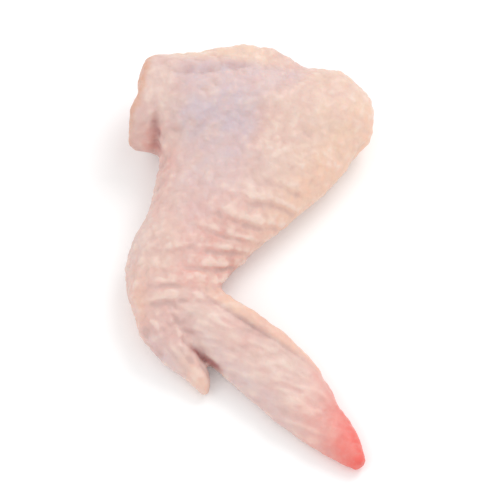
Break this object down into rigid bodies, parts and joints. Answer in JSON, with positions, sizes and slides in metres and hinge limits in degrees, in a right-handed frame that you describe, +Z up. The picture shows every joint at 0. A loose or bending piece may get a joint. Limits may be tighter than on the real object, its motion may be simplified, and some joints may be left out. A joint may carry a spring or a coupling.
{
  "type": "raw chicken wing",
  "caption": "Raw whole chicken wing lying skin side up: drumette, flat and pointed tip in a folded Z, cut across at the shoulder.",
  "frame": {"origin": "on the table, under the middle of the wing's box", "axes": "+Z up from the table, +Y from the tip's point towards the drumette, +X from the cut shoulder towards the elbow"},
  "size_m": [0.0746, 0.1356, 0.0301],
  "materials": {
    "skin": "pale pink raw skin with a soft wet sheen",
    "raw_meat": "moist raw muscle"
  },
  "bodies": {
    "root": {"wing_skin": "skin", "drumette_meat": "raw_meat"}
  },
  "joints": []
}
